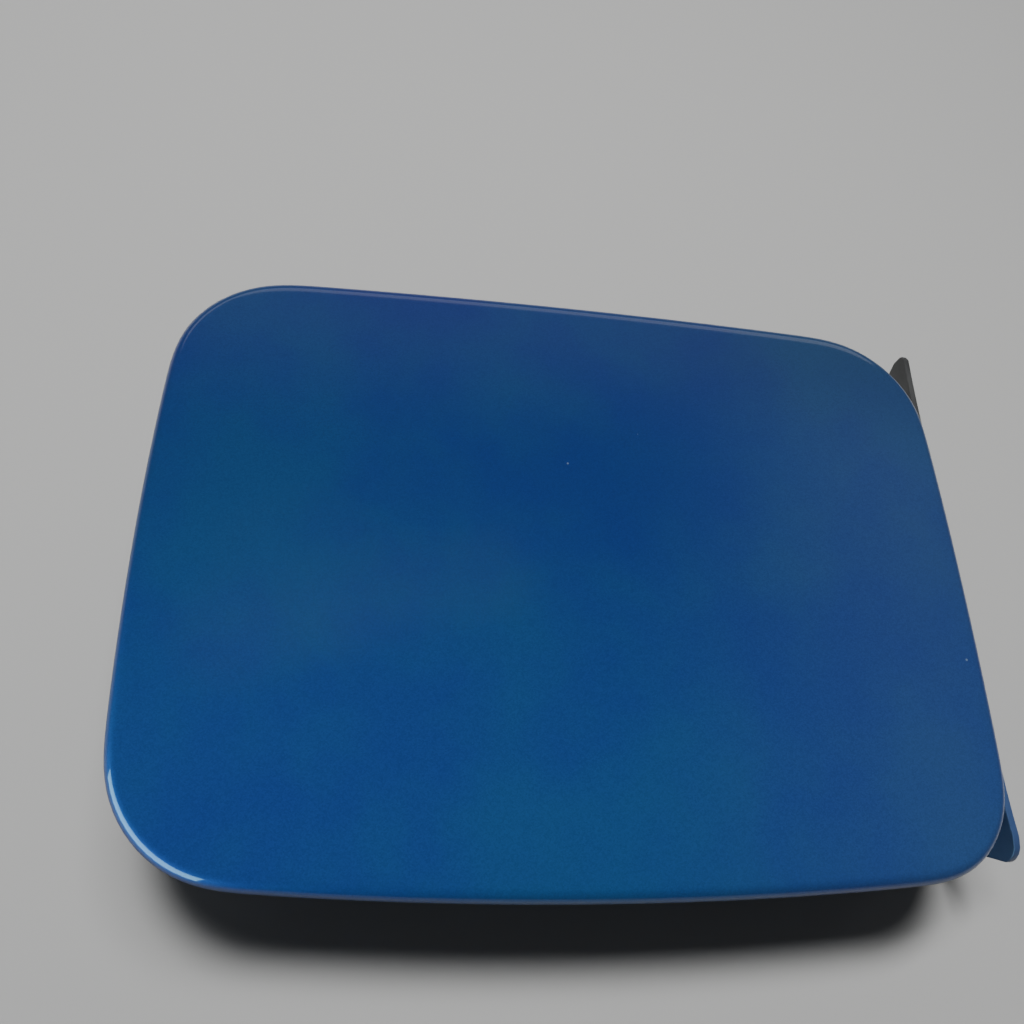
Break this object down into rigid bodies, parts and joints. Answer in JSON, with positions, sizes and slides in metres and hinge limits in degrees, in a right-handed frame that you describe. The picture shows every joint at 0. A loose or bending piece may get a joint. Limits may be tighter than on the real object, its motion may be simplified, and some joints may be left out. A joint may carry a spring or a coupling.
{
  "type": "car fuel door",
  "caption": "Crowned steel fuel filler door, hemmed and painted metallic blue, on a gooseneck hinge with a screwed base, a pop-open spring and a striker loop.",
  "frame": {"origin": "centre of the hinge base's two screw holes, on the underside of its foot", "axes": "+X across the door, from the free edge to the hinge; +Y along the hinge, towards the door's top edge; +Z out of the door's outer face"},
  "size_m": [0.1869, 0.1332, 0.038],
  "materials": {
    "body_paint": "metallic blue under clear coat",
    "inner_paint": "thin blue overspray on dark electrocoat",
    "electrocoat": "satin black electrocoat",
    "zinc": "zinc-plated steel",
    "spring_steel": "oiled spring wire",
    "bearing_plastic": "natural acetal",
    "holder_plastic": "black moulded plastic, fine grain",
    "rubber": "black moulded rubber",
    "mastic": "grey-black mastic"
  },
  "bodies": {
    "base": {"hinge_base": "electrocoat", "bush_upper": "bearing_plastic", "bush_lower": "bearing_plastic", "spacer_tube": "bearing_plastic", "hinge_spring": "spring_steel", "stop_pad": "rubber"},
    "door": {"outer_skin": "body_paint", "inner_panel": "inner_paint", "hinge_arm": "electrocoat", "arm_rivets": "zinc", "hinge_doubler": "electrocoat", "hinge_pin": "zinc", "pin_clip": "spring_steel", "striker_loop": "zinc", "striker_plate": "zinc", "striker_doubler": "electrocoat", "striker_rivets": "zinc", "bumper_upper": "rubber", "bumper_lower": "rubber", "cap_holder": "holder_plastic", "holder_rivets": "zinc", "mastic_pads": "mastic"}
  },
  "joints": [
    {"name": "door_hinge", "type": "hinge", "parent": "base", "child": "door", "pos_m": [0.018, 0, 0.014], "axis": [0, 1, 0], "range_deg": [0, 90]}
  ]
}
